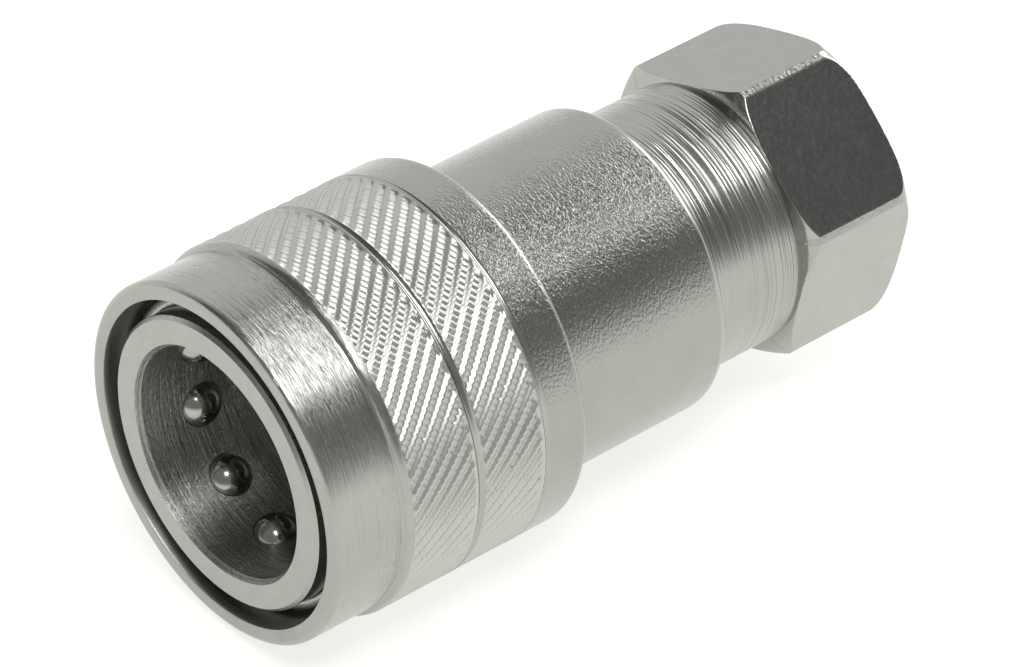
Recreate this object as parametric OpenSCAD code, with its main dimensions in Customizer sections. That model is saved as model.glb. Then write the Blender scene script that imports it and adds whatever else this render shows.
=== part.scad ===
// Ball-lock hydraulic quick coupler, female half, with a sprung poppet valve.
// The coupling axis lies along +X: the front of the sleeve is at X = 0 and the port face at +X.
// Each part is drawn along its own +Z and then laid down along +X.

/* [Sleeve] */
// Outside diameter of the knurled grip
sleeve_d = 38; // [37:0.5:42]
// Outside diameter of the smooth front lip
lip_d = 36.8; // [36.4:0.1:36.9]
// Length of the locking sleeve
sleeve_len = 29.6; // [29:0.1:32]
// Length of the smooth lip in front of the knurl
lip_len = 7.5; // [6:0.1:8]
// Distance that the sleeve is pulled back to release the nipple
sleeve_travel = 6.5; // [5.5:0.1:7]

/* [Socket] */
// Bore that receives the nipple
bore_d = 23.6; // [23.4:0.1:23.8]
// Outside diameter of the nose
nose_d = 29.9; // [29.8:0.05:30]
// Width of the snap ring wire
snap_wire_d = 1.7; // [1.5:0.05:1.8]

/* [Locking balls] */
// Ball diameter
ball_d = 4.76; // [4.6:0.02:4.8]
// Number of balls is fixed at ten, one node each; this turns the whole ring of them
ball_roll = 2; // [0:1:35]
// Distance from the front of the sleeve to the ball centres
ball_z = 7.5; // [7.3:0.1:7.7]
// Distance that a locked ball stands into the bore
ball_reach = 1.53; // [1.3:0.01:1.6]

/* [Adapter] */
// Diameter of the plain body behind the sleeve
body_d = 31.86; // [31.6:0.02:31.9]
// Distance from the front of the sleeve to the shoulder
shoulder_z = 49.85; // [47:0.05:51]
// Diameter of the turned neck
neck_d = 27.4; // [26.4:0.1:27.6]
// Distance from the front of the sleeve to the front of the hexagon
hex_z = 61; // [58:0.1:62]
// Hexagon size across the flats
hex_af = 28; // [27.8:0.1:28.2]
// Turn of the hexagon about the axis
hex_roll = 13; // [0:1:59]
// Overall length
total_len = 74.6; // [74:0.2:78]
// Minor diameter of the port thread
port_d = 18.64; // [18.4:0.02:18.8]
// Length of the full port thread
port_len = 15; // [12:0.5:15]

/* [Valve] */
// Distance that the poppet opens
poppet_travel = 5; // [4:0.5:5]
// Diameter of the poppet stem
stem_d = 6; // [5:0.5:6]
// Wire diameter of the valve spring
valve_wire_d = 1.3; // [1:0.1:1.3]
// Wire diameter of the sleeve spring
sleeve_wire_d = 1.4; // [1.2:0.1:1.4]

/* [Hidden] */
$fn = 96;
ring_sides = 48;

ball_count = 10;
slide_gap = 0.05;
free_gap = 0.15;
thin_gap = 0.03;
edge = 0.3;

sleeve_r = sleeve_d / 2;
lip_r = lip_d / 2;
bore_r = bore_d / 2;
nose_r = nose_d / 2;
ball_r = ball_d / 2;
ball_hole_r = ball_r + 0.04;
body_r = body_d / 2;
neck_r = neck_d / 2;
port_r = port_d / 2;
stem_r = stem_d / 2;

// Locking geometry: the ball centre's radius when locked, and the sleeve's land that holds it in
ball_ring_r = bore_r + ball_r - ball_reach;
land_r = ball_ring_r + ball_r + 0.02;
ramp_slope = ball_reach / sleeve_travel;
ramp_offset = (ball_r + 0.03) * sqrt(1 + ramp_slope * ramp_slope);
recess_r = 16.6;
recess_z = 4.5;
ramp_front_r = ball_ring_r + ramp_slope * (ball_z - recess_z) + ramp_offset;
ramp_end_z = ball_z - (land_r - ball_ring_r - ramp_offset) / ramp_slope;
land_end_z = 11;
skirt_bore_r = body_r + 0.17;

// Snap ring groove in the nose; the ring is open over the angle that the sweep leaves out
snap_wire_r = snap_wire_d / 2;
snap_groove_depth = 0.53;
snap_groove_r = nose_r - snap_groove_depth;
snap_ring_r = snap_groove_r + 0.03 + snap_wire_r;
snap_z = recess_z - slide_gap - snap_wire_r;
snap_groove_z0 = snap_z - snap_wire_r - slide_gap;
snap_groove_z1 = snap_z + snap_wire_r + slide_gap;
snap_start = 28;
snap_sweep = 336;

// Front of the socket body: how far its face lies behind the front of the sleeve, and its edges
nose_z = 0.2;
mouth_edge = 0.35;
mouth_edge_len = 0.6;
nose_edge = 0.35;

// Socket body behind the balls
waist_r = 14.4;
seal_groove_z = 13.3;
seal_groove_len = 3.2;
seal_groove_r = 13.3;
seal_section_r = 0.88;
bore_end_z = 17.5;
seat_z = 19;
seat_r = 7.6;
chamber_r = 10.6;
thread_z = 26;
thread_r = 13.2;
body_end_z = 38;
body_seal_z = 33.6;
body_seal_groove_len = 2.9;
body_seal_groove_r = 12;
body_seal_section_r = 0.6;
backup_len = 1.2;

// Valve
spigot_r = 2;
spigot_z = 17.9;
seal_inner_r = 5.6;
seal_len = 1.6;
seal_lip_r = 7.5;
head_r = 9.8;
head_back_z = 25.2;
collar_r = 4.5;
guide_z = body_end_z + 0.1;
guide_rim_len = 2.3;
guide_hub_len = 7;
guide_rim_r = 11.8;
valve_spring_r = 6.6;
valve_turns = 6;
sleeve_turns = 5;
collar_back_z = guide_z - poppet_travel - 0.1;
stem_end_z = guide_z + guide_hub_len;
nose_tip_z = 12;
nose_tip_r = 3.2;
nose_tip_end_z = 15.4;
nose_tip_round = 0.8;
nose_base_r = 6.4;
nose_base_z = 18.6;
seal_front_z = 19.5;
seal_back_z = seal_front_z + seal_len;
seat_gap = 0.06;

// Adapter bore
counterbore_r = guide_rim_r + 0.1;
counterbore_end_z = guide_z + guide_rim_len + 0.1;
channel_r = 8.6;
channel_edge = 1.2;
port_chamfer = 1.2;
port_run_out = 0.6;
port_z = total_len - port_chamfer - port_len;

// Adapter outside
adapter_z = thread_z + slide_gap;
corner_r = hex_af / 2 / cos(30);
shoulder_round = 0.45;
hex_front_run = 2.6;
hex_front_drop = 1.2;
hex_front_round = (pow(hex_front_run, 2) + pow(hex_front_drop, 2)) / (2 * hex_front_drop);
hex_back_round = 2.2;
hex_land_r = body_r;

// Points of a quarter-like elliptic arc, as [radius, height], from angle a to angle b
function arc(centre_r, centre_z, size_r, size_z, a, b, steps = 8) =
    [for (i = [0:steps]) let (t = a + (b - a) * i / steps)
        [centre_r + size_r * cos(t), centre_z + size_z * sin(t)]];

// Lays a part that is drawn along +Z down along +X
module along_x() {
    rotate([0, 90, 0])
        children();
}

// A solid of revolution from its [radius, height] outline
module turned(outline) {
    rotate_extrude()
        polygon(outline);
}

// A plain tube
module tube(outer_r, inner_r, z0, z1) {
    difference() {
        translate([0, 0, z0])
            cylinder(r = outer_r, h = z1 - z0);
        translate([0, 0, z0 - 1])
            cylinder(r = inner_r, h = z1 - z0 + 2);
    }
}

// A ring of round section
module round_ring(ring_r, section_r, z) {
    translate([0, 0, z])
        rotate_extrude()
            translate([ring_r, 0])
                circle(r = section_r, $fn = ring_sides);
}

// Height of a spring's wire after t turns: one closed turn at each end, open turns between
function coil_height(t, z0, z1, wire_r, turns) =
    let (low = z0 + wire_r + 0.04, high = z1 - wire_r - 0.04, closed = 2 * wire_r + 0.06)
    lookup(t, [[0, low], [1, low + closed], [turns - 1, high - closed], [turns, high]]);

// A compression spring: one round wire swept along a helix between heights z0 and z1
module coil_spring(mean_r, wire_r, z0, z1, turns) {
    sides = 8;
    steps_per_turn = 24;
    steps = turns * steps_per_turn;
    points = [for (i = [0:steps]) for (j = [0:sides - 1])
        let (t = i / steps_per_turn, a = 360 * t, b = 360 * j / sides, r = mean_r + wire_r * cos(b))
        [r * cos(a), r * sin(a), coil_height(t, z0, z1, wire_r, turns) + wire_r * sin(b)]];
    skin = [for (i = [0:steps - 1]) for (j = [0:sides - 1])
        let (k = (j + 1) % sides, p = i * sides, q = p + sides)
        [p + j, q + j, q + k, p + k]];
    first_cap = [for (j = [0:sides - 1]) j];
    last_cap = [for (j = [sides - 1:-1:0]) steps * sides + j];
    polyhedron(points = points, faces = concat(skin, [first_cap, last_cap]), convexity = 10);
}

// Places its children at ball number i, with +Z pointing out along the ball's radius
module at_ball(i) {
    translate([0, 0, ball_z])
        rotate([0, 0, ball_roll + 360 / ball_count * (i - 1)])
            rotate([0, 90, 0])
                children();
}

module socket_body() {
    color([0.72, 0.73, 0.70])
    along_x()
    difference() {
        turned([
            [bore_r + mouth_edge, nose_z], [nose_r - nose_edge, nose_z], [nose_r, nose_z + nose_edge],
            [nose_r, snap_groove_z0], [snap_groove_r, snap_groove_z0],
            [snap_groove_r, snap_groove_z1], [nose_r, snap_groove_z1],
            [nose_r, land_end_z - edge], [waist_r, land_end_z],
            [waist_r, thread_z], [thread_r, thread_z],
            [thread_r, body_seal_z], [body_seal_groove_r, body_seal_z],
            [body_seal_groove_r, body_seal_z + body_seal_groove_len],
            [thread_r, body_seal_z + body_seal_groove_len],
            [thread_r, body_end_z - edge], [thread_r - edge, body_end_z], [chamber_r, body_end_z],
            [chamber_r, seat_z + chamber_r - seat_r], [seat_r, seat_z], [seat_r, bore_end_z],
            [bore_r, bore_end_z],
            [bore_r, seal_groove_z + seal_groove_len], [seal_groove_r, seal_groove_z + seal_groove_len],
            [seal_groove_r, seal_groove_z], [bore_r, seal_groove_z],
            [bore_r, nose_z + mouth_edge_len]
        ]);
        for (i = [1:ball_count])
            at_ball(i) {
                translate([0, 0, ball_ring_r])
                    sphere(r = ball_hole_r);
                translate([0, 0, ball_ring_r])
                    cylinder(r = ball_hole_r, h = nose_r - ball_ring_r + 1);
            }
    }
}

// The corner outside a round of radius r about the origin, towards +X and either +Y or -Y
module round_off(r, side) {
    difference() {
        translate([0, side > 0 ? 0 : -r - 1])
            square([r + 1, r + 1]);
        circle(r = r);
    }
}

// Round envelope of the hexagon: turned corners, a dished front edge and a rounded back edge
module hex_envelope() {
    rotate_extrude()
        difference() {
            translate([0, hex_z])
                square([hex_land_r, total_len - hex_z]);
            translate([hex_land_r - hex_front_run, hex_z + hex_front_round])
                round_off(hex_front_round, -1);
            translate([hex_land_r - hex_back_round, total_len - hex_back_round])
                round_off(hex_back_round, 1);
        }
}

// Outside of the adapter: plain body, shoulder, neck and hexagon
module adapter_outside() {
    turned(concat(
        [[0, adapter_z], [body_r - edge, adapter_z], [body_r, adapter_z + edge]],
        arc(body_r - shoulder_round, shoulder_z - shoulder_round, shoulder_round, shoulder_round, 0, 90, 4),
        [[neck_r, shoulder_z], [neck_r, hex_z + 1], [0, hex_z + 1]]
    ));
    intersection() {
        translate([0, 0, hex_z])
            rotate([0, 0, hex_roll])
                cylinder(r = corner_r, h = total_len - hex_z, $fn = 6);
        hex_envelope();
    }
}

module adapter() {
    color([0.70, 0.71, 0.68])
    along_x()
    difference() {
        adapter_outside();
        turned([
            [0, thread_z - 1], [thread_r + slide_gap, thread_z - 1],
            [thread_r + slide_gap, body_end_z + slide_gap], [counterbore_r, body_end_z + slide_gap],
            [counterbore_r, counterbore_end_z], [channel_r + channel_edge, counterbore_end_z],
            [channel_r, counterbore_end_z + channel_edge], [channel_r, port_z - port_run_out],
            [port_r, port_z], [port_r, total_len - port_chamfer],
            [port_r + port_chamfer, total_len], [port_r + port_chamfer, total_len + 1],
            [0, total_len + 1]
        ]);
    }
}

module locking_sleeve() {
    lip_round = 0.7;
    step_round = 0.8;
    back_round = 0.9;
    recess_edge = 0.2;
    skirt_edge = 0.4;
    groove_z = 16.5;
    groove_half = 0.4;
    groove_deep = 0.3;
    color([0.75, 0.76, 0.73])
    along_x()
    turned(concat(
        [[recess_r + recess_edge, 0]],
        arc(lip_r - lip_round, lip_round, lip_round, lip_round, -90, 0, 6),
        [[lip_r, lip_len]],
        arc(sleeve_r - step_round, lip_len + 1.2, step_round, step_round, -76, 0, 5),
        [[sleeve_r, groove_z - groove_half - groove_deep], [sleeve_r - groove_deep, groove_z - groove_half],
         [sleeve_r - groove_deep, groove_z + groove_half], [sleeve_r, groove_z + groove_half + groove_deep]],
        arc(sleeve_r - back_round, sleeve_len - back_round, back_round, back_round, 0, 90, 6),
        [[skirt_bore_r + skirt_edge, sleeve_len], [skirt_bore_r, sleeve_len - skirt_edge],
         [skirt_bore_r, land_end_z], [land_r, land_end_z], [land_r, ramp_end_z],
         [ramp_front_r, recess_z], [recess_r, recess_z], [recess_r, recess_edge]]
    ));
}

module sleeve_spring() {
    color([0.45, 0.46, 0.48])
    along_x()
    coil_spring(waist_r + free_gap + sleeve_wire_d / 2, sleeve_wire_d / 2, land_end_z, thread_z,
                sleeve_turns);
}

module sleeve_snap_ring() {
    color([0.30, 0.31, 0.33])
    along_x()
    translate([0, 0, snap_z])
        rotate([0, 0, snap_start])
            rotate_extrude(angle = snap_sweep)
                translate([snap_ring_r, 0])
                    circle(r = snap_wire_r, $fn = ring_sides);
}

// One locking ball, in its locked place
module locking_ball(i) {
    color([0.40, 0.41, 0.43])
    along_x()
    at_ball(i)
        translate([0, 0, ball_ring_r])
            sphere(r = ball_r);
}

module nipple_seal() {
    color([0.10, 0.10, 0.10])
    along_x()
    round_ring(seal_groove_r - seal_section_r - thin_gap, seal_section_r,
               seal_groove_z + seal_section_r + slide_gap);
}

module nipple_backup_ring() {
    back_z = seal_groove_z + seal_groove_len - slide_gap;
    color([0.93, 0.93, 0.90])
    along_x()
    tube(seal_groove_r - slide_gap, bore_r + slide_gap, back_z - backup_len, back_z);
}

module body_seal() {
    color([0.10, 0.10, 0.10])
    along_x()
    round_ring(body_seal_groove_r + body_seal_section_r + thin_gap / 2, body_seal_section_r,
               body_seal_z + body_seal_section_r + slide_gap);
}

module body_backup_ring() {
    back_z = body_seal_z + body_seal_groove_len - slide_gap;
    color([0.93, 0.93, 0.90])
    along_x()
    tube(thread_r, body_seal_groove_r + thin_gap, back_z - backup_len, back_z);
}

// Valve head with the stem behind it; its 45 degree face stands just off the seat
module poppet() {
    color([0.60, 0.61, 0.60])
    along_x()
    turned([
        [0, spigot_z], [spigot_r, spigot_z], [spigot_r, seal_front_z],
        [seal_inner_r, seal_front_z], [seal_inner_r, seal_back_z],
        [seat_r + seal_back_z - seat_z - seat_gap, seal_back_z],
        [head_r, seat_z + head_r - seat_r + seat_gap], [head_r, head_back_z - edge],
        [head_r - edge, head_back_z], [collar_r, head_back_z], [collar_r, collar_back_z],
        [stem_r, collar_back_z + 0.1], [stem_r, stem_end_z - edge], [stem_r - edge, stem_end_z],
        [0, stem_end_z]
    ]);
}

// Nose that clamps the seal and pushes the nipple's own valve open
module poppet_nose() {
    color([0.60, 0.61, 0.60])
    along_x()
    difference() {
        turned(concat(
            [[0, nose_tip_z]],
            arc(nose_tip_r - nose_tip_round, nose_tip_z + nose_tip_round, nose_tip_round, nose_tip_round,
                -90, 0, 5),
            [[nose_tip_r, nose_tip_end_z], [nose_base_r, nose_base_z], [nose_base_r, seal_front_z],
             [0, seal_front_z]]
        ));
        translate([0, 0, spigot_z - thin_gap])
            cylinder(r = spigot_r + thin_gap, h = 3);
    }
}

// Rubber ring held between the nose and the head; it bears on the conical seat
module poppet_seal() {
    color([0.12, 0.12, 0.12])
    along_x()
    turned([
        [seal_inner_r + thin_gap, seal_front_z + thin_gap], [seal_lip_r, seal_front_z + thin_gap],
        [seat_r + seal_back_z - seat_z - seat_gap - thin_gap, seal_back_z - thin_gap],
        [seal_inner_r + thin_gap, seal_back_z - thin_gap]
    ]);
}

module valve_spring() {
    color([0.60, 0.61, 0.63])
    along_x()
    coil_spring(valve_spring_r, valve_wire_d / 2, head_back_z, guide_z, valve_turns);
}

// Spider that guides the stem: a disc clamped behind the socket body, with windows round a hub
module valve_guide() {
    hub_wall = 1.9;
    rim_width = 1.8;
    windows = 3;
    window_angle = 94;
    hub_r = stem_r + hub_wall;
    window_inner_r = hub_r + edge;
    window_outer_r = guide_rim_r - rim_width;
    color([0.58, 0.59, 0.58])
    along_x()
    difference() {
        turned([
            [stem_r + slide_gap, guide_z], [guide_rim_r, guide_z],
            [guide_rim_r, guide_z + guide_rim_len], [hub_r, guide_z + guide_rim_len],
            [hub_r, guide_z + guide_hub_len - edge], [hub_r - edge, guide_z + guide_hub_len],
            [stem_r + slide_gap, guide_z + guide_hub_len]
        ]);
        for (i = [1:windows])
            rotate([0, 0, 360 / windows * (i - 1)])
                translate([0, 0, guide_z - 1])
                    rotate_extrude(angle = window_angle)
                        translate([window_inner_r, 0])
                            square([window_outer_r - window_inner_r, guide_rim_len + 2]);
    }
}

socket_body();
adapter();
locking_sleeve();
sleeve_spring();
sleeve_snap_ring();
locking_ball(1);  // locking_ball_1
locking_ball(2);  // locking_ball_2
locking_ball(3);  // locking_ball_3
locking_ball(4);  // locking_ball_4
locking_ball(5);  // locking_ball_5
locking_ball(6);  // locking_ball_6
locking_ball(7);  // locking_ball_7
locking_ball(8);  // locking_ball_8
locking_ball(9);  // locking_ball_9
locking_ball(10);  // locking_ball_10
nipple_seal();
nipple_backup_ring();
body_seal();
body_backup_ring();
poppet();
poppet_nose();
poppet_seal();
valve_spring();
valve_guide();
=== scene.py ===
"""A hydraulic quick coupler socket: knurled locking sleeve, ball ring, poppet valve and hexagon port end.

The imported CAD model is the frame. The sleeve, the adapter and both springs are rebuilt here as finished
meshes with their knurl, thread and rounded edges; the other parts keep their CAD shape and get materials.
Parts are shaped in millimetres, and the floor, lights and camera are placed in metres. The coupling axis
is X, with the sleeve's front at X = 0.
"""
import math

import bpy
import numpy as np
from mathutils import Matrix, Vector


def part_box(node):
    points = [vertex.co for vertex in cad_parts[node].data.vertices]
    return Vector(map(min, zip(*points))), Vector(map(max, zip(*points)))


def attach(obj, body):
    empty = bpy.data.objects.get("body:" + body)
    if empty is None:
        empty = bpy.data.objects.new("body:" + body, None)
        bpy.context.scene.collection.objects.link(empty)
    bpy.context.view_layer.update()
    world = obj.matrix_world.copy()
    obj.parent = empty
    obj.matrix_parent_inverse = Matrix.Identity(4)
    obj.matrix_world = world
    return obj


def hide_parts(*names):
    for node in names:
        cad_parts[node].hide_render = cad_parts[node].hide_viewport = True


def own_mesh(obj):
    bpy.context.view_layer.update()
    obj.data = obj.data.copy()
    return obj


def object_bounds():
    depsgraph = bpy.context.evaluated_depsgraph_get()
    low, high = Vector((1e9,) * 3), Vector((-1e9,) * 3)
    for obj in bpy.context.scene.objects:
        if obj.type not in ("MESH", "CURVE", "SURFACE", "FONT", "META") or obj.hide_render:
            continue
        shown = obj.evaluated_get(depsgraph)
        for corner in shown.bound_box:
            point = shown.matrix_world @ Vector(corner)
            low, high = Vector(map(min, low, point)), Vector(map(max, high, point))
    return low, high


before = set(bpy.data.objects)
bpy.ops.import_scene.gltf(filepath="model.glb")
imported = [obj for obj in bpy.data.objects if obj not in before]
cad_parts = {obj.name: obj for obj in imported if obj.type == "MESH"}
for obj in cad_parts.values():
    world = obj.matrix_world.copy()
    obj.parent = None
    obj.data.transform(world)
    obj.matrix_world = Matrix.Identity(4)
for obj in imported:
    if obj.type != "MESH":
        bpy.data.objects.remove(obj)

MM = 0.001
TAU = 2 * math.pi

cad_low, cad_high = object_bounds()
scene = bpy.context.scene


# ---------------------------------------------------------------- mesh helpers

def smooth_min(a, b, width):
    """The smaller of a and b, with the corner between them rounded over width."""
    share = np.clip(0.5 + 0.5 * (b - a) / width, 0, 1)
    return b + (a - b) * share - width * share * (1 - share)


def smooth_step(low, high, value):
    """0 below low, 1 above high, and a smooth rise between them."""
    t = np.clip((value - low) / (high - low), 0, 1)
    return t * t * (3 - 2 * t)


def arc_points(centre_x, centre_r, size_x, size_r, start, end, steps):
    """Points (x, r) along an elliptic arc, its angles in degrees measured from +r towards +x."""
    angles = np.radians(np.linspace(start, end, steps + 1))
    return [(centre_x + size_x * math.sin(a), centre_r + size_r * math.cos(a)) for a in angles]


def round_points(centre_x, centre_r, radius, start, end, steps):
    """Points (x, r) along a circular arc, its angles in degrees measured from +r towards +x."""
    return arc_points(centre_x, centre_r, radius, radius, start, end, steps)


def straight_points(start, end, count):
    """count points (x, r) along a straight line, without its end point."""
    return [(start[0] + (end[0] - start[0]) * i / count, start[1] + (end[1] - start[1]) * i / count)
            for i in range(count)]


class Outline:
    """The points (x, r) of a turned part's section, in order, each with the number of its material."""

    def __init__(self):
        self.points = []
        self.parts = []

    def run(self, points, part):
        """Adds points and returns their rows."""
        first = len(self.points)
        self.points.extend(points)
        self.parts.extend([part] * len(points))
        return slice(first, len(self.points))

    def grids(self, columns):
        """Arrays of x, r and material number, with one row per point and one column per angle."""
        x, r = np.array(self.points).T[:, :, None] * np.ones(columns)
        return x, r, np.array(self.parts)[:, None] * np.ones(columns, int)


def ring_mesh(name, x, r, angles, materials, material_index):
    """A closed tube-like mesh about the X axis from arrays x and r, one row per ring, one column per angle.

    The last ring joins the first. material_index has r's shape and belongs to the face after each point.
    """
    rings, columns = r.shape
    co = np.empty((rings, columns, 3))
    co[..., 0] = x
    co[..., 1] = r * np.cos(angles)[None, :]
    co[..., 2] = r * np.sin(angles)[None, :]
    below = np.arange(rings * columns).reshape(rings, columns)
    above = np.roll(below, -1, axis=0)
    quads = np.stack([below, np.roll(below, -1, axis=1), np.roll(above, -1, axis=1), above], axis=-1)
    mesh = bpy.data.meshes.new(name)
    mesh.vertices.add(rings * columns)
    mesh.vertices.foreach_set("co", (co * MM).ravel())
    mesh.loops.add(quads.size)
    mesh.loops.foreach_set("vertex_index", quads.ravel())
    mesh.polygons.add(rings * columns)
    mesh.polygons.foreach_set("loop_start", np.arange(0, quads.size, 4))
    mesh.polygons.foreach_set("material_index", material_index.astype(np.int32).ravel())
    mesh.update(calc_edges=True)
    mesh.validate()
    for material in materials:
        mesh.materials.append(material)
    mesh.polygons.foreach_set("use_smooth", np.ones(rings * columns, bool))
    piece = bpy.data.objects.new(name, mesh)
    scene.collection.objects.link(piece)
    return piece


def sharpen(piece, angle):
    """Shades piece smooth, apart from edges sharper than angle in degrees."""
    piece.data.set_sharp_from_angle(angle=math.radians(angle))


# ---------------------------------------------------------------- materials

SOFT_STEP = [(0.3, 0.0), (0.7, 1.0)]


def shaded(colour, share):
    """A colour with its brightness multiplied by share."""
    return tuple(share * channel for channel in colour)


def grey_ramp(tree, value, stops):
    """A ramp over value, which runs from 0 to 1. Each stop is (position, grey)."""
    node = tree.nodes.new("ShaderNodeValToRGB")
    while len(node.color_ramp.elements) < len(stops):
        node.color_ramp.elements.new(0.5)
    for element, (position, grey) in zip(node.color_ramp.elements, stops):
        element.position = position
        element.color = (grey, grey, grey, 1)
    tree.links.new(value, node.inputs["Fac"])
    return node.outputs["Color"]


class Nodes:
    """A short way to write a material's node tree."""

    def __init__(self, name, metallic=0.0):
        self.material = bpy.data.materials.new(name)
        self.material.use_nodes = True
        self.tree = self.material.node_tree
        self.shader = self.tree.nodes["Principled BSDF"]
        self.shader.inputs["Metallic"].default_value = metallic

    def add(self, kind, **settings):
        node = self.tree.nodes.new(kind)
        for key, value in settings.items():
            setattr(node, key, value)
        return node

    def link(self, source, target):
        self.tree.links.new(source, target)

    def coordinates(self, scale=(1, 1, 1)):
        """Object coordinates, in millimetres, times scale."""
        place = self.add("ShaderNodeTexCoord")
        mapping = self.add("ShaderNodeMapping")
        mapping.inputs["Scale"].default_value = [s / MM for s in scale]
        self.link(place.outputs["Object"], mapping.inputs["Vector"])
        return mapping.outputs["Vector"]

    def noise(self, scale, vector_scale=(1, 1, 1), detail=3.0, rough=0.5):
        """Noise whose features are about 1 / scale millimetres apart."""
        node = self.add("ShaderNodeTexNoise")
        node.inputs["Scale"].default_value = scale
        node.inputs["Detail"].default_value = detail
        node.inputs["Roughness"].default_value = rough
        self.link(self.coordinates(vector_scale), node.inputs["Vector"])
        return node.outputs["Fac"]

    def ramp(self, value, stops):
        """A grey ramp over value."""
        return grey_ramp(self.tree, value, stops)

    def mix(self, factor, a, b):
        """Colour a where factor is 0 and colour b where it is 1."""
        node = self.add("ShaderNodeMix", data_type="RGBA")
        self.link(factor, node.inputs[0])
        for value, socket in ((a, node.inputs[6]), (b, node.inputs[7])):
            if isinstance(value, tuple):
                socket.default_value = (*value, 1)
            else:
                self.link(value, socket)
        return node.outputs[2]

    def maths(self, operation, a, b=0.0):
        """A Math node over a and b, each a number or a socket."""
        node = self.add("ShaderNodeMath", operation=operation)
        for value, socket in ((a, node.inputs[0]), (b, node.inputs[1])):
            if isinstance(value, (int, float)):
                socket.default_value = value
            else:
                self.link(value, socket)
        return node.outputs[0]

    def bump(self, height, depth_mm, normal=None):
        """A bump of depth_mm for a height from 0 to 1, on top of an earlier normal."""
        node = self.add("ShaderNodeBump")
        node.inputs["Distance"].default_value = depth_mm * MM
        self.link(height, node.inputs["Height"])
        if normal is not None:
            self.link(normal, node.inputs["Normal"])
        return node.outputs["Normal"]


def turned_metal(name, colours, roughness, ring_depth, ring_scale=4.0, streak=0.04):
    """Lathe-turned plated metal: rings about X in bump, shade and roughness, and a slow colour drift."""
    n = Nodes(name, metallic=1.0)
    light, dark = colours
    rings = n.noise(ring_scale, (1, streak, streak), detail=4, rough=0.72)
    fine = n.noise(ring_scale * 3.7, (1, streak * 2, streak * 2), detail=2, rough=0.6)
    drift = n.noise(0.16, detail=3, rough=0.6)
    stain = n.noise(1.3, detail=5, rough=0.7)
    base = n.mix(n.ramp(drift, SOFT_STEP), dark, light)
    lined = n.mix(n.ramp(rings, [(0.30, 0.25), (0.45, 0.0)]), base, shaded(dark, 0.6))
    spotted = n.mix(n.ramp(stain, [(0.62, 0.0), (0.80, 0.12)]), lined, shaded(dark, 0.6))
    n.link(spotted, n.shader.inputs["Base Color"])
    n.link(n.ramp(rings, [(0.25, roughness[0]), (0.75, roughness[1])]), n.shader.inputs["Roughness"])
    normal = n.bump(rings, ring_depth)
    normal = n.bump(fine, ring_depth * 0.4, normal)
    n.link(normal, n.shader.inputs["Normal"])
    return n.material


def blasted_metal(name, colours, roughness, grain_depth, grain_scale):
    """Bead-blasted plated metal: a close dimpled grain, a little longer round the axis, that sparkles."""
    n = Nodes(name, metallic=1.0)
    light, dark = colours
    stretch = (1, 0.62, 0.62)
    grain = n.noise(grain_scale, stretch, detail=2.0, rough=0.55)
    fine = n.noise(grain_scale * 2.6, stretch, detail=2, rough=0.5)
    drift = n.noise(0.14, detail=3, rough=0.6)
    n.link(n.mix(n.ramp(drift, SOFT_STEP), dark, light), n.shader.inputs["Base Color"])
    n.link(n.ramp(fine, [(0.35, roughness[0]), (0.65, roughness[1])]), n.shader.inputs["Roughness"])
    normal = n.bump(grain, grain_depth)
    normal = n.bump(fine, grain_depth * 0.3, normal)
    n.link(normal, n.shader.inputs["Normal"])
    return n.material


def bored_metal(name, colours, bore_r):
    """Turned metal whose bore, inside the radius bore_r in mm, is rougher and more deeply ringed."""
    n = Nodes(name, metallic=1.0)
    light, dark = colours
    across = n.add("ShaderNodeVectorMath", operation="LENGTH")
    n.link(n.coordinates((0, 1, 1)), across.inputs[0])
    inside = n.maths("LESS_THAN", across.outputs["Value"], bore_r)
    rings = n.noise(2.6, (1, 0.03, 0.03), detail=5, rough=0.75)
    grain = n.noise(4.5, (1, 0.5, 0.5), detail=3, rough=0.6)
    cloud = n.noise(0.35, detail=4, rough=0.6)
    face = n.mix(n.ramp(cloud, SOFT_STEP), dark, light)
    wall = n.mix(n.ramp(rings, [(0.35, 0.0), (0.65, 1.0)]), shaded(dark, 0.7), light)
    n.link(n.mix(inside, face, wall), n.shader.inputs["Base Color"])
    n.link(n.ramp(grain, [(0.3, 0.24), (0.7, 0.38)]), n.shader.inputs["Roughness"])
    depth = n.maths("ADD", n.maths("MULTIPLY", inside, 0.94), 0.06)
    height = n.maths("MULTIPLY", n.maths("ADD", rings, n.maths("MULTIPLY", grain, 0.4)), depth)
    n.link(n.bump(height, 0.18), n.shader.inputs["Normal"])
    return n.material


def ground_metal(name, colours, roughness, grain_depth, grain_scale=5.0):
    """Smooth plated metal with a faint cloudy grain, as on milled flats, wire and balls."""
    n = Nodes(name, metallic=1.0)
    light, dark = colours
    cloud = n.noise(0.35, detail=4, rough=0.6)
    grain = n.noise(grain_scale, detail=3, rough=0.6)
    n.link(n.mix(n.ramp(cloud, SOFT_STEP), dark, light), n.shader.inputs["Base Color"])
    n.link(n.ramp(grain, [(0.3, roughness[0]), (0.7, roughness[1])]), n.shader.inputs["Roughness"])
    n.link(n.bump(grain, grain_depth), n.shader.inputs["Normal"])
    return n.material


def soft_material(name, colours, roughness, grain_depth):
    """Rubber or plastic: dull, with a fine moulded grain."""
    n = Nodes(name)
    light, dark = colours
    cloud = n.noise(0.5, detail=4, rough=0.6)
    grain = n.noise(9.0, detail=3, rough=0.6)
    n.link(n.mix(cloud, dark, light), n.shader.inputs["Base Color"])
    n.link(n.ramp(cloud, [(0.3, roughness[0]), (0.7, roughness[1])]), n.shader.inputs["Roughness"])
    n.link(n.bump(grain, grain_depth), n.shader.inputs["Normal"])
    return n.material


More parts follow.
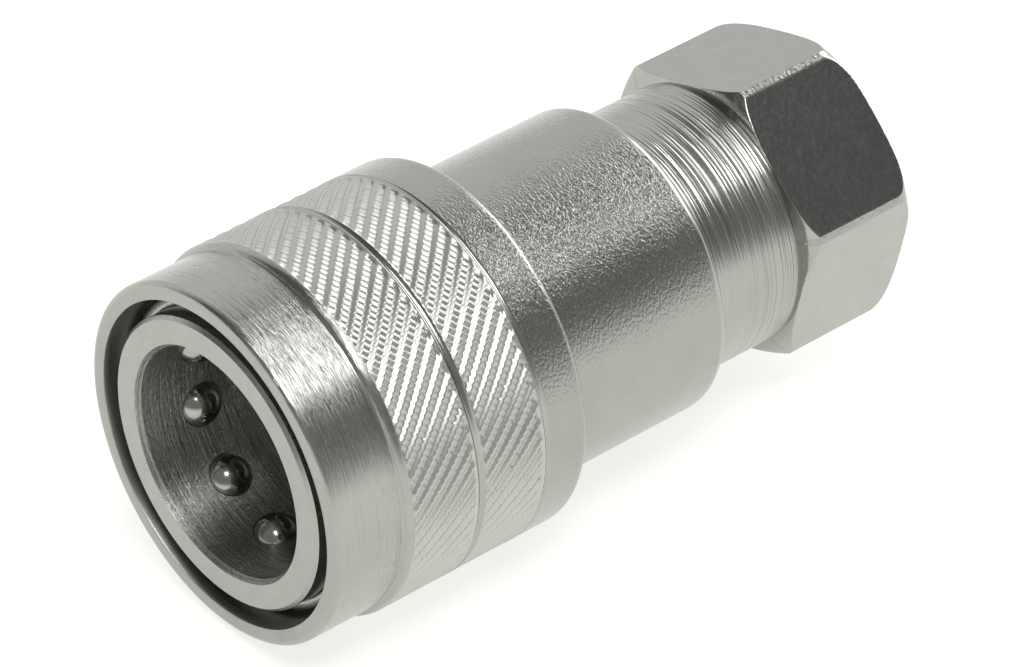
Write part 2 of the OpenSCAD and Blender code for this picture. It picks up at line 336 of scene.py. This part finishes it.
# Each pair of colours is the light one and the dark one that a material drifts between
ZINC = ((0.395, 0.403, 0.376), (0.365, 0.373, 0.347))
BLASTED = ((0.370, 0.378, 0.352), (0.340, 0.348, 0.324))
# The knurl's pair is a lighter copy of the zinc: painted light, standing in for the bright light the knurl
# catches
KNURLED_PAINTED_LIGHT = ((0.51, 0.52, 0.49), (0.47, 0.48, 0.45))
CHROME = ((0.46, 0.45, 0.41), (0.36, 0.35, 0.32))
WIRE = ((0.45, 0.45, 0.43), (0.36, 0.36, 0.35))
BLACK = ((0.035, 0.035, 0.035), (0.018, 0.018, 0.018))
CREAM = ((0.86, 0.86, 0.82), (0.78, 0.78, 0.74))

lip_metal = turned_metal("zinc_lip", ZINC, (0.14, 0.28), 0.075, ring_scale=3.0, streak=0.02)
nose_metal = bored_metal("zinc_nose", ZINC, 12.1)
neck_metal = turned_metal("zinc_neck", ZINC, (0.16, 0.28), 0.014, ring_scale=3.0, streak=0.02)
inner_metal = turned_metal("zinc_inside", ZINC, (0.30, 0.45), 0.006)
# The knurl gets the lightened zinc colour as painted light
knurl_painted_light_metal = ground_metal("zinc_knurl_painted_light", KNURLED_PAINTED_LIGHT, (0.32, 0.44), 0.008)
groove_metal = turned_metal("zinc_groove", ZINC, (0.16, 0.26), 0.008)
band_metal = blasted_metal("zinc_band", BLASTED, (0.15, 0.24), 0.060, 4.4)
body_metal = blasted_metal("zinc_blasted", BLASTED, (0.15, 0.24), 0.060, 4.2)
flat_metal = ground_metal("zinc_flats", ZINC, (0.09, 0.17), 0.020, grain_scale=1.8)
ball_metal = ground_metal("ball_chrome", CHROME, (0.12, 0.20), 0.003)
wire_metal = ground_metal("spring_wire", WIRE, (0.20, 0.32), 0.004)
valve_metal = turned_metal("zinc_valve", ZINC, (0.22, 0.36), 0.006)
rubber = soft_material("nitrile", BLACK, (0.45, 0.65), 0.006)
ptfe = soft_material("fluoropolymer", CREAM, (0.40, 0.55), 0.004)


def paint_cad(material, *nodes):
    """Gives CAD nodes a material."""
    for node in nodes:
        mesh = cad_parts[node].data
        mesh.materials.clear()
        mesh.materials.append(material)


balls = [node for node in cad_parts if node.startswith("locking_ball_")]
paint_cad(nose_metal, "socket_body")
paint_cad(wire_metal, "sleeve_snap_ring")
paint_cad(ball_metal, *balls)
paint_cad(rubber, "nipple_seal", "body_seal", "poppet_seal")
paint_cad(ptfe, "nipple_backup_ring", "body_backup_ring")
paint_cad(valve_metal, "poppet", "poppet_nose", "valve_guide")


# ---------------------------------------------------------------- locking sleeve

def knurl_depth(x, arc, start, pitch):
    """How far the knurl cuts in, in mm, at places x along the axis and arc round the sleeve.

    Slanting ridges have a short steep side and a long gentle side. Finer grooves cross them at right
    angles and notch the gentle sides. Both run at 45 degrees to the axis. pitch is measured round the
    sleeve.
    """
    depth, steep_share = 0.27, 0.40
    notch_depth, notch_half = (0.085, 0.065), 0.17
    place = ((arc + x - start) / pitch) % 1
    steep_side = depth * (1 - place / steep_share)
    gentle_side = depth * (place - steep_share) / (1 - steep_share)
    across = 2 * (arc - x + start) / pitch
    from_notch = np.abs(across - np.round(across))
    notch_shape = np.clip(1 - from_notch / (2 * notch_half), 0, 1)
    notch = np.where(np.round(across) % 2 == 0, *notch_depth) * notch_shape
    return np.maximum(steep_side, gentle_side + notch)


def knurl_fade(x, bands, width):
    """1 inside the knurled bands and 0 outside them, with a ramp of the given width at each end."""
    inside = np.zeros(np.shape(x))
    for start, end in bands:
        edge = np.clip((x - start) / width, 0, 1) * np.clip((end - x) / width, 0, 1)
        inside = np.maximum(inside, edge)
    return inside


def groove_points(start, end, r, depth, count=8):
    """Points (x, r) of a round-bottomed turned groove from start to end."""
    steps = np.linspace(0, 1, count + 1)
    return [(start + (end - start) * t, r - depth * math.sin(math.pi * t) ** 0.7) for t in steps]


def build_sleeve():
    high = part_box("locking_sleeve")[1] / MM
    length, grip_r = high.x, high.z
    lip_r = grip_r - 0.6
    lip_end, lip_round = 7.5, 0.6
    lip_flat_start, step_fillet = 0.75, 0.08
    rise_centre, rise_run, rise_height, rise_first = lip_end + 0.95, 0.82, 0.7, -74
    recess_r, recess_end, recess_edge = 16.6, 4.5, 0.1
    ramp_front_r = 15.9
    skirt_r, skirt_edge = 16.1, 0.1
    land_r, land_start, land_end = 15.05, 7.82, 11.0
    grooves_round = 66
    steps_per_pitch = 16
    pitch = TAU * grip_r / grooves_round
    step = pitch / steps_per_pitch
    columns = grooves_round * steps_per_pitch
    knurl_start, knurl_ramp = 8.5, 0.22
    band_rows = [(0, 67), (75, 138)]
    bands = [(knurl_start + first * step, knurl_start + last * step) for first, last in band_rows]
    mid_groove = (bands[0][1] + 0.04, bands[1][0] - 0.04)
    end_groove = (bands[1][1] + 0.10, bands[1][1] + 0.62)
    mid_depth, end_depth = 0.24, 0.12
    band_start, back_round = bands[1][1] + 0.7, 0.9

    lip, knurl, groove, band, inner = range(5)
    outline = Outline()
    outline.run(round_points(lip_round, lip_r - lip_round, lip_round, -90, 0, 8), lip)
    outline.run(straight_points((lip_flat_start, lip_r), (lip_end, lip_r), 24), lip)
    outline.run([(lip_end, lip_r), (lip_end + step_fillet, lip_r + 0.02)], lip)
    outline.run(arc_points(rise_centre, grip_r - rise_height, rise_run, rise_height, rise_first, 0, 8), lip)
    for number, (first, last) in enumerate(band_rows):
        outline.run([(knurl_start + i * step, grip_r) for i in range(first, last + 1)], knurl)
        if number == 0:
            outline.run(groove_points(*mid_groove, grip_r, mid_depth), groove)
    outline.run(groove_points(*end_groove, grip_r, end_depth), groove)
    outline.run(straight_points((band_start, grip_r), (length - back_round, grip_r), 10), band)
    outline.run(round_points(length - back_round, grip_r - back_round, back_round, 0, 90, 10), band)
    outline.run([(length, skirt_r + 0.45), (length - 0.06, skirt_r + 0.33), (length - 0.4, skirt_r)], inner)
    outline.run([(land_end + skirt_edge, skirt_r), (land_end, skirt_r - skirt_edge)], inner)
    outline.run([(land_end, land_r + 0.1), (land_end - 0.1, land_r), (land_start, land_r)], inner)
    outline.run([(recess_end + 0.05, ramp_front_r - 0.07), (recess_end, ramp_front_r)], inner)
    outline.run([(recess_end, recess_r - recess_edge), (recess_end - recess_edge, recess_r)], inner)
    outline.run([(0.25, recess_r), (0.08, recess_r + 0.05), (0, recess_r + 0.2)], inner)

    angles = np.arange(columns) * TAU / columns
    x, r, index = outline.grids(columns)
    cut = knurl_depth(x, (angles * grip_r)[None, :], knurl_start, pitch) * knurl_fade(x, bands, knurl_ramp)
    r -= np.where(index == knurl, cut, 0)
    piece = ring_mesh("grip_sleeve", x, r, angles,
                      [lip_metal, knurl_painted_light_metal, groove_metal, band_metal, inner_metal], index)
    sharpen(piece, 38)
    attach(piece, "sleeve")
    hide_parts("locking_sleeve")


# ---------------------------------------------------------------- adapter

def neck_rings(x, feed):
    """How deep the neck's tool marks are, in mm, at the places x: some clear grooves over a fine ripple."""
    ripple_depth = 0.012
    depth = ripple_depth * feed.uniform(0, 1, len(x))
    place = x[0]
    while place < x[-1]:
        half_width = feed.uniform(0.06, 0.14)
        groove = feed.uniform(0.02, 0.08)
        depth = np.maximum(depth, groove * np.clip(1 - np.abs(x - place) / half_width, 0, 1))
        place += feed.uniform(0.22, 0.62)
    return depth


def cut_hexagon(r, angles, land_r, feed):
    """Cuts six flats into the rings r, and says which columns are the rounded lands between them."""
    apothem = 14.0
    hex_roll = math.radians(13)
    corner_width, nick_depth = 0.05, 0.025
    sixth = TAU / 6
    from_flat = (angles - hex_roll + sixth / 2) % sixth - sixth / 2
    hexagon = apothem / np.cos(from_flat)
    on_land = hexagon[None, :] > land_r + 0.01
    nicks = nick_depth * feed.uniform(0, 1, r.shape)
    nicked = r - np.where(on_land, nicks, 0)
    return smooth_min(nicked, np.broadcast_to(hexagon, r.shape), corner_width), on_land


def build_adapter():
    low, high = (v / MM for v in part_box("adapter"))
    front, back = low.x, high.x
    body_r, front_edge = 15.93, 0.3
    shoulder, shoulder_round = 49.85, 1.1
    neck_r, ring_step = 13.7, 0.045
    hex_start = 61.0
    hex_front_run, hex_front_drop, hex_back_round = 2.6, 1.2, 2.2
    port_r, port_edge = 9.32, 1.35
    thread_depth, thread_pitch, steps_per_turn = 1.16, 1.814, 16
    thread_start, thread_end, run_out_len = 58.4, 73.4, 1.2
    channel_r, channel_start = 8.6, 42.0
    seat_z, seat_r = 40.6, 11.9
    joint_z, joint_r = 38.05, 13.25
    hex_front_round = (hex_front_run ** 2 + hex_front_drop ** 2) / (2 * hex_front_drop)
    front_centre_r = body_r - hex_front_run
    front_first = math.asin((neck_r - front_centre_r) / hex_front_round)
    front_last = math.asin(hex_front_run / hex_front_round)
    hex_back_start, hex_back_r = back - hex_back_round, body_r - hex_back_round

    blasted, turned, flats, inner = range(4)
    outline = Outline()
    outline.run([(front, body_r - front_edge), (front + front_edge, body_r)], blasted)
    outline.run(straight_points((front + 0.5, body_r), (shoulder - shoulder_round, body_r), 30), blasted)
    outline.run(round_points(shoulder - shoulder_round, body_r - shoulder_round, shoulder_round, 0, 90, 12),
                turned)
    outline.run([(shoulder, neck_r + 0.15), (shoulder + 0.04, neck_r + 0.05)], turned)
    outline.run([(shoulder + 0.14, neck_r)], turned)
    rings = np.arange(shoulder + 0.18, hex_start - 0.04, ring_step)
    neck_rows = outline.run([(place, neck_r) for place in rings], turned)
    front_rows = outline.run([(hex_start + hex_front_round * (1 - math.cos(a)),
                               front_centre_r + hex_front_round * math.sin(a))
                              for a in np.linspace(front_first, front_last, 30)], flats)
    outline.run(straight_points((hex_start + 1.25, body_r), (hex_back_start, body_r), 40), flats)
    back_rows = outline.run(round_points(hex_back_start, hex_back_r, hex_back_round, 0, 90, 20), flats)
    outline.run([(back, hex_back_r - 0.3), (back, port_r + port_edge)], turned)
    outline.run([(back - 0.08, port_r + port_edge - 0.15)], turned)
    outline.run([(thread_end, port_r)], inner)
    thread_x = np.arange(thread_end - 0.1, thread_start, -thread_pitch / steps_per_turn)
    thread_rows = outline.run([(place, port_r) for place in thread_x], inner)
    outline.run([(thread_start - 0.05, port_r), (thread_start - 0.6, channel_r)], inner)
    outline.run([(channel_start, channel_r), (seat_z, channel_r + 1.2), (seat_z, seat_r)], inner)
    outline.run([(joint_z, seat_r), (joint_z, joint_r)], inner)
    outline.run([(front + 0.3, joint_r), (front, joint_r + 0.25)], inner)

    columns = 720
    angles = np.arange(columns) * TAU / columns
    x, r, index = outline.grids(columns)
    feed = np.random.default_rng(7)
    r[neck_rows] -= neck_rings(rings, feed)[:, None]
    hex_rows = slice(front_rows.start, back_rows.stop)
    r[hex_rows], on_land = cut_hexagon(r[hex_rows], angles, body_r, feed)
    index[hex_rows] = np.where(on_land, blasted, index[hex_rows])

    turn = (x[thread_rows] / thread_pitch + angles[None, :] / TAU) % 1
    profile = np.clip(1.25 - np.abs(turn - 0.5) * 3.2, 0, 1)
    run_out = smooth_step(thread_start, thread_start + run_out_len, x[thread_rows])
    r[thread_rows] += thread_depth * profile * run_out

    piece = ring_mesh("hex_adapter", x, r, angles, [body_metal, neck_metal, flat_metal, inner_metal], index)
    sharpen(piece, 32)
    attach(piece, "coupler_body")
    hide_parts("adapter")


# ---------------------------------------------------------------- springs

def build_spring(name, node, mean_r, wire_r, turns):
    """A closed and ground compression spring in a CAD spring's place."""
    low, high = (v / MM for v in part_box(node))
    steps_per_turn, sides = 64, 14
    steps = int(turns * steps_per_turn)
    coil_gap, blend = 0.06, 6
    closed = 2 * wire_r + coil_gap
    first, last = low.x + wire_r, high.x - wire_r
    t = np.linspace(0, turns, steps + 1)
    x = np.interp(t, [0, 1, turns - 1, turns], [first, first + closed, last - closed, last])
    window = 2 * blend + 1
    x = np.convolve(np.pad(x, blend, mode="edge"), np.ones(window) / window, mode="valid")
    a = t * TAU
    section = np.arange(sides) * TAU / sides
    radial = mean_r + wire_r * np.cos(section)[None, :]
    co = np.stack([x[:, None] + wire_r * np.sin(section)[None, :],
                   radial * np.cos(a)[:, None], radial * np.sin(a)[:, None]], axis=-1) * MM
    faces = []
    for i in range(steps):
        for j in range(sides):
            k = (j + 1) % sides
            faces.append((i * sides + j, i * sides + k, (i + 1) * sides + k, (i + 1) * sides + j))
    faces.append(tuple(reversed(range(sides))))
    faces.append(tuple(range(steps * sides, (steps + 1) * sides)))
    mesh = bpy.data.meshes.new(name)
    mesh.from_pydata(co.reshape(-1, 3).tolist(), [], faces)
    mesh.validate()
    mesh.materials.append(wire_metal)
    for polygon in mesh.polygons:
        polygon.use_smooth = len(polygon.vertices) == 4
    piece = bpy.data.objects.new(name, mesh)
    scene.collection.objects.link(piece)
    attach(piece, "coupler_body")
    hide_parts(node)
    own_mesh(piece)


build_sleeve()
build_adapter()
build_spring("sleeve_coil", "sleeve_spring", 15.25, 0.7, 5)
build_spring("valve_coil", "valve_spring", 6.6, 0.65, 6)


# ---------------------------------------------------------------- floor, light and camera

def build_floor():
    size = 4.0
    mesh = bpy.data.meshes.new("floor")
    corners = [(-size, -size), (size, -size), (size, size), (-size, size)]
    mesh.from_pydata([(x, y, cad_low.z) for x, y in corners], [], [(0, 1, 2, 3)])
    n = Nodes("pale_floor")
    grain = n.noise(0.02, detail=3)
    n.link(n.mix(grain, (0.35, 0.35, 0.34), (0.38, 0.38, 0.37)), n.shader.inputs["Base Color"])
    n.shader.inputs["Roughness"].default_value = 0.9
    n.shader.inputs["Specular IOR Level"].default_value = 0.1
    n.shader.inputs["Emission Color"].default_value = (1.0, 1.0, 0.95, 1)
    n.shader.inputs["Emission Strength"].default_value = 0.76
    mesh.materials.append(n.material)
    floor = bpy.data.objects.new("floor", mesh)
    scene.collection.objects.link(floor)


LIGHT_DISTANCE = 0.8


def soft_light(name, towards, along_axis, across_axis, power, centre):
    """A softbox in the direction towards, facing centre, sized in metres along and across the X axis."""
    data = bpy.data.lights.new(name, "AREA")
    data.shape = "RECTANGLE"
    data.size, data.size_y = along_axis, across_axis
    data.energy = power
    light = bpy.data.objects.new(name, data)
    direction = Vector(towards).normalized()
    across = direction.cross(Vector((1, 0, 0))).normalized()
    along = across.cross(direction)
    turn = Matrix((along, across, direction)).transposed().to_4x4()
    light.matrix_world = Matrix.Translation(centre + direction * LIGHT_DISTANCE) @ turn
    scene.collection.objects.link(light)


def build_world():
    """A studio room: dark above the camera, with a pale wall behind the object and a pale horizon."""
    world = bpy.data.worlds.new("studio")
    world.use_nodes = True
    scene.world = world
    tree = world.node_tree
    place = tree.nodes.new("ShaderNodeTexCoord")
    side = tree.nodes.new("ShaderNodeVectorMath")
    side.operation = "DOT_PRODUCT"
    side.inputs[1].default_value = (0.55, 0.75, -0.38)
    tree.links.new(place.outputs["Generated"], side.inputs[0])
    share = tree.nodes.new("ShaderNodeMapRange")
    share.inputs["From Min"].default_value = -1.0
    tree.links.new(side.outputs["Value"], share.inputs["Value"])
    overhead = [(0.0, 0.24), (0.29, 0.24), (0.33, 0.12), (0.40, 0.08), (0.51, 0.12), (0.57, 0.20)]
    far_wall = [(0.63, 0.42), (0.69, 0.80), (0.75, 0.88), (0.86, 0.79), (0.945, 0.74)]
    room = grey_ramp(tree, share.outputs["Result"], overhead + far_wall)
    height = tree.nodes.new("ShaderNodeSeparateXYZ")
    tree.links.new(place.outputs["Generated"], height.inputs["Vector"])
    horizon = grey_ramp(tree, height.outputs["Z"], [(0.03, 0.60), (0.12, 0.38), (0.25, 0.12)])
    lighter = tree.nodes.new("ShaderNodeMix")
    lighter.data_type = "RGBA"
    lighter.blend_type = "LIGHTEN"
    lighter.inputs[0].default_value = 1.0
    tree.links.new(room, lighter.inputs[6])
    tree.links.new(horizon, lighter.inputs[7])
    background = tree.nodes["Background"]
    background.inputs["Strength"].default_value = 1.2
    tree.links.new(lighter.outputs[2], background.inputs["Color"])


def build_camera():
    azimuth, elevation, distance = math.radians(-40.45), math.radians(37.2), 0.5735
    aim = Vector((0.0358, -0.0006, -0.0019))
    towards = Vector((-math.sin(azimuth) * math.cos(elevation), math.cos(azimuth) * math.cos(elevation),
                      -math.sin(elevation)))
    data = bpy.data.cameras.new("camera")
    data.sensor_fit = "HORIZONTAL"
    data.sensor_width = 36.0
    data.lens = 211.1
    data.clip_start = 0.01
    camera = bpy.data.objects.new("camera", data)
    camera.location = aim - towards * distance
    camera.rotation_euler = towards.to_track_quat("-Z", "Y").to_euler()
    scene.collection.objects.link(camera)
    scene.camera = camera


centre = Vector(((cad_low.x + cad_high.x) / 2, 0, 0))
build_floor()
build_world()
soft_light("key", (0.517, -0.279, 0.81), 0.20, 0.40, 0.06, centre)
soft_light("above", (0.00, -0.27, 0.96), 0.32, 0.60, 2.7, centre)
soft_light("mouth", (-0.32, -0.42, 0.85), 0.26, 0.20, 2.3, centre)
soft_light("rear", (0.87, 0.02, 0.493), 0.36, 0.70, 3.2, centre)
build_camera()
scene.view_settings.view_transform = "Standard"
